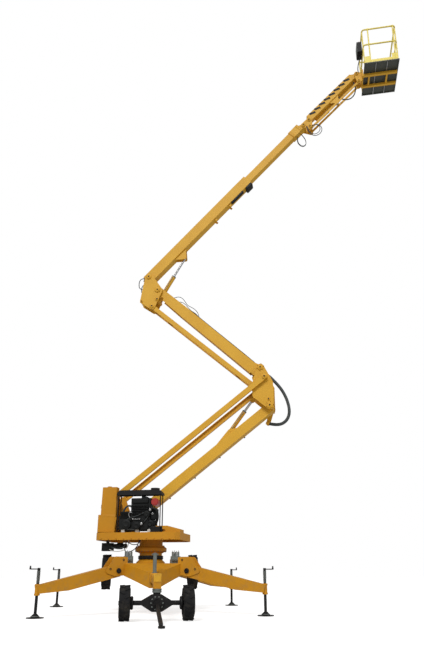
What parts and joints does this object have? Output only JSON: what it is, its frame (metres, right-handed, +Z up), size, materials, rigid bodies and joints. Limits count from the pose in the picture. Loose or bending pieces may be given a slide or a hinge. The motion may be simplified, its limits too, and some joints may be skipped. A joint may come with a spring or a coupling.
{
  "type": "towable boom lift",
  "caption": "Trailer-mounted aerial work platform: articulated double-parallelogram boom with telescope, jib and basket on a slewing turntable, standing on folding outriggers.",
  "frame": {"origin": "on the floor, under the axis that the turntable slews about", "axes": "+Z up; -Y towards the towing end, which faces the viewer; +X to that viewer's right; the boom's upright plane is turned 18 degrees from +X towards -Y"},
  "size_m": [8.174, 6.0752, 13.9644],
  "materials": {
    "yellow": "gloss enamel",
    "dark": "satin black enamel",
    "tyre": "matt",
    "steel": "polished",
    "rail": "gloss enamel",
    "floor": "satin",
    "red": "gloss",
    "grey": "satin",
    "hose": "matt",
    "rim": "satin black enamel"
  },
  "bodies": {
    "chassis": {"chassis_frame": "yellow", "slew_pedestal": "yellow", "gooseneck": "yellow", "lock_post": "grey", "rear_axle": "dark", "valve_blocks": "grey"},
    "front_axle": {"front_axle": "dark"},
    "drawbar": {"drawbar": "dark"},
    "turntable": {"turntable_deck": "yellow", "tower": "yellow", "cabinet": "yellow", "engine": "dark", "air_filter": "red", "canopy": "dark", "pump_unit": "dark"},
    "lower_boom": {"lower_boom": "yellow"},
    "lower_links": {"lower_links": "yellow"},
    "elbow": {"elbow": "yellow", "elbow_hose": "hose"},
    "mid_boom": {"mid_boom": "yellow"},
    "mid_link": {"mid_link": "yellow"},
    "upper_bracket": {"upper_bracket": "yellow"},
    "upper_boom": {"upper_boom": "yellow"},
    "fly_boom": {"fly_boom": "yellow", "head_hose": "hose"},
    "knuckle": {"knuckle": "yellow", "root_hose": "hose"},
    "jib": {"jib": "yellow", "tip_hose": "hose"},
    "jib_links": {"jib_links": "yellow"},
    "basket": {"basket_mount": "yellow", "basket_floor": "floor", "basket_rails": "rail", "control_box": "dark"},
    "wheel_front_left": {"tyre_front_left": "tyre", "rim_front_left": "rim"},
    "outrigger_front_left": {"outrigger_front_left": "yellow", "jack_front_left": "dark"},
    "wheel_front_right": {"tyre_front_right": "tyre", "rim_front_right": "rim"},
    "outrigger_front_right": {"outrigger_front_right": "yellow", "jack_front_right": "dark"},
    "wheel_rear_left": {"tyre_rear_left": "tyre", "rim_rear_left": "rim"},
    "outrigger_rear_left": {"outrigger_rear_left": "yellow", "jack_rear_left": "dark"},
    "wheel_rear_right": {"tyre_rear_right": "tyre", "rim_rear_right": "rim"},
    "outrigger_rear_right": {"outrigger_rear_right": "yellow", "jack_rear_right": "dark"},
    "lower_barrel": {"lower_barrel": "yellow"},
    "lower_rod": {"lower_rod": "steel"},
    "mid_barrel": {"mid_barrel": "yellow"},
    "mid_rod": {"mid_rod": "steel"},
    "upper_barrel": {"upper_barrel": "yellow"},
    "upper_rod": {"upper_rod": "steel"},
    "level_barrel": {"level_barrel": "yellow"},
    "level_rod": {"level_rod": "steel"},
    "jib_barrel": {"jib_barrel": "yellow"},
    "jib_rod": {"jib_rod": "steel"}
  },
  "joints": [
    {"name": "wheel_front_left_spin", "type": "hinge", "parent": "front_axle", "child": "wheel_front_left", "pos_m": [-0.52, -2.7, 0.28], "axis": [1, 0, 0], "continuous": true},
    {"name": "wheel_front_right_spin", "type": "hinge", "parent": "front_axle", "child": "wheel_front_right", "pos_m": [0.52, -2.7, 0.28], "axis": [1, 0, 0], "continuous": true},
    {"name": "wheel_rear_left_spin", "type": "hinge", "parent": "chassis", "child": "wheel_rear_left", "pos_m": [-0.905, 0.145, 0.76], "axis": [1, 0, 0], "continuous": true},
    {"name": "wheel_rear_right_spin", "type": "hinge", "parent": "chassis", "child": "wheel_rear_right", "pos_m": [0.905, 0.145, 0.76], "axis": [1, 0, 0], "continuous": true},
    {"name": "steering", "type": "hinge", "parent": "chassis", "child": "front_axle", "pos_m": [0, -2.7, 0.28], "axis": [0, 0, 1], "range_deg": [-40, 40]},
    {"name": "drawbar_lift", "type": "hinge", "parent": "front_axle", "child": "drawbar", "pos_m": [0, -2.85, 0.25], "axis": [-1, 0, 0], "range_deg": [0, 95]},
    {"name": "outrigger_front_left_fold", "type": "hinge", "parent": "chassis", "child": "outrigger_front_left", "pos_m": [-0.7, -1.036, 0.78], "axis": [0.4848, -0.8746, 0], "range_deg": [-85, 0]},
    {"name": "outrigger_front_right_fold", "type": "hinge", "parent": "chassis", "child": "outrigger_front_right", "pos_m": [0.7, -1.036, 0.78], "axis": [0.4848, 0.8746, 0], "range_deg": [-85, 0]},
    {"name": "outrigger_rear_left_fold", "type": "hinge", "parent": "chassis", "child": "outrigger_rear_left", "pos_m": [-0.7, 1.036, 0.78], "axis": [-0.4848, -0.8746, 0], "range_deg": [-85, 0]},
    {"name": "outrigger_rear_right_fold", "type": "hinge", "parent": "chassis", "child": "outrigger_rear_right", "pos_m": [0.7, 1.036, 0.78], "axis": [-0.4848, 0.8746, 0], "range_deg": [-85, 0]},
    {"name": "slew", "type": "hinge", "parent": "chassis", "child": "turntable", "pos_m": [0, 0, 1.262], "axis": [0, 0, 1], "range_deg": [-72, 283]},
    {"name": "lower_lift", "type": "hinge", "parent": "turntable", "child": "lower_boom", "pos_m": [-0.61819, 0.20086, 1.63], "axis": [-0.309, -0.9511, 0], "range_deg": [-34, 32]},
    {"name": "lower_links_swing", "type": "hinge", "parent": "turntable", "child": "lower_links", "pos_m": [-0.70854, 0.23022, 2.27], "axis": [-0.309, -0.9511, 0], "range_deg": [-34, 32]},
    {"name": "elbow_level", "type": "hinge", "parent": "lower_boom", "child": "elbow", "pos_m": [2.492, -0.8097, 4.18499], "axis": [-0.309, -0.9511, 0], "range_deg": [-32, 34]},
    {"name": "mid_lift", "type": "hinge", "parent": "elbow", "child": "mid_boom", "pos_m": [2.31605, -0.75253, 5.06499], "axis": [0.309, 0.9511, 0], "range_deg": [-36.5, 23.5]},
    {"name": "mid_link_swing", "type": "hinge", "parent": "elbow", "child": "mid_link", "pos_m": [2.19717, -0.71391, 4.64499], "axis": [0.309, 0.9511, 0], "range_deg": [-36.5, 23.5]},
    {"name": "bracket_level", "type": "hinge", "parent": "mid_boom", "child": "upper_bracket", "pos_m": [0.00108, -0.00035, 7.21851], "axis": [0.309, 0.9511, 0], "range_deg": [-23.5, 36.5]},
    {"name": "upper_lift", "type": "hinge", "parent": "upper_bracket", "child": "upper_boom", "pos_m": [-0.21291, 0.06918, 7.58851], "axis": [-0.309, -0.9511, 0], "range_deg": [-46, 29]},
    {"name": "telescope", "type": "slide", "parent": "upper_boom", "child": "fly_boom", "axis": [0.6607, -0.2147, 0.7193], "range_m": [-1.6, 1.2]},
    {"name": "knuckle_level", "type": "hinge", "parent": "fly_boom", "child": "knuckle", "pos_m": [3.50924, -1.14022, 11.56065], "axis": [-0.309, -0.9511, 0], "range_deg": [-29, 46]},
    {"name": "jib_lift", "type": "hinge", "parent": "knuckle", "child": "jib", "pos_m": [3.64715, -1.18503, 11.69865], "axis": [-0.309, -0.9511, 0], "range_deg": [-105, 25]},
    {"name": "jib_links_swing", "type": "hinge", "parent": "knuckle", "child": "jib_links", "pos_m": [3.68994, -1.19894, 11.46365], "axis": [-0.309, -0.9511, 0], "range_deg": [-105, 25]},
    {"name": "basket_level", "type": "hinge", "parent": "jib", "child": "basket", "pos_m": [4.85764, -1.57834, 12.97144], "axis": [-0.309, -0.9511, 0], "range_deg": [-25, 105]},
    {"name": "lower_barrel_swing", "type": "hinge", "parent": "lower_boom", "child": "lower_barrel", "pos_m": [1.63125, -0.53002, 3.68665], "axis": [-0.309, -0.9511, 0], "range_deg": [-3.73, 3.51]},
    {"name": "lower_rod_slide", "type": "slide", "parent": "lower_barrel", "child": "lower_rod", "axis": [0.5616, -0.1825, 0.807], "range_m": [-0.24184, 0.22764]},
    {"name": "mid_barrel_swing", "type": "hinge", "parent": "elbow", "child": "mid_barrel", "pos_m": [2.47298, -0.80352, 4.33], "axis": [-0.309, -0.9511, 0], "range_deg": [-5.07, 3.27]},
    {"name": "mid_rod_slide", "type": "slide", "parent": "mid_barrel", "child": "mid_rod", "axis": [-0.4828, 0.1569, 0.8615], "range_m": [-0.12418, 0.08013]},
    {"name": "upper_barrel_swing", "type": "hinge", "parent": "upper_bracket", "child": "upper_barrel", "pos_m": [0.00108, -0.00035, 6.97051], "axis": [-0.309, -0.9511, 0], "range_deg": [-31.57, 19.9]},
    {"name": "upper_rod_slide", "type": "slide", "parent": "upper_barrel", "child": "upper_rod", "axis": [0.4739, -0.154, 0.867], "range_m": [-0.43572, 0.27488]},
    {"name": "level_barrel_swing", "type": "hinge", "parent": "upper_bracket", "child": "level_barrel", "pos_m": [-0.36507, 0.11862, 6.93851], "axis": [-0.309, -0.9511, 0], "range_deg": [-0.72, 0.46]},
    {"name": "level_rod_slide", "type": "slide", "parent": "level_barrel", "child": "level_rod", "axis": [0.0686, -0.0223, 0.9974], "range_m": [-0.05397, 0.08531]},
    {"name": "jib_barrel_swing", "type": "hinge", "parent": "knuckle", "child": "jib_barrel", "pos_m": [3.66141, -1.18966, 11.50865], "axis": [-0.309, -0.9511, 0], "range_deg": [-103.44, 24.64]},
    {"name": "jib_rod_slide", "type": "slide", "parent": "jib_barrel", "child": "jib_rod", "axis": [0.6887, -0.2238, 0.6896], "range_m": [-0.2913, 0.06974]}
  ],
  "couplings": [
    {"joint": "lower_links_swing", "follows": "lower_lift", "ratio": 1},
    {"joint": "elbow_level", "follows": "lower_lift", "ratio": -1},
    {"joint": "mid_link_swing", "follows": "mid_lift", "ratio": 1},
    {"joint": "bracket_level", "follows": "mid_lift", "ratio": -1},
    {"joint": "knuckle_level", "follows": "upper_lift", "ratio": -1},
    {"joint": "jib_links_swing", "follows": "jib_lift", "ratio": 1},
    {"joint": "basket_level", "follows": "jib_lift", "ratio": -1},
    {"joint": "lower_barrel_swing", "follows": "lower_lift", "ratio": 0.10928},
    {"joint": "lower_rod_slide", "follows": "lower_lift", "m_per_rad": 0.40669},
    {"joint": "mid_barrel_swing", "follows": "mid_lift", "ratio": 0.13866},
    {"joint": "mid_rod_slide", "follows": "mid_lift", "m_per_rad": 0.19414},
    {"joint": "upper_barrel_swing", "follows": "upper_lift", "ratio": 0.68598},
    {"joint": "upper_rod_slide", "follows": "upper_lift", "m_per_rad": 0.5421},
    {"joint": "level_barrel_swing", "follows": "upper_lift", "ratio": 0.01553},
    {"joint": "level_rod_slide", "follows": "upper_lift", "m_per_rad": -0.10564},
    {"joint": "jib_barrel_swing", "follows": "jib_lift", "ratio": 0.985},
    {"joint": "jib_rod_slide", "follows": "jib_lift", "m_per_rad": 0.15868}
  ]
}
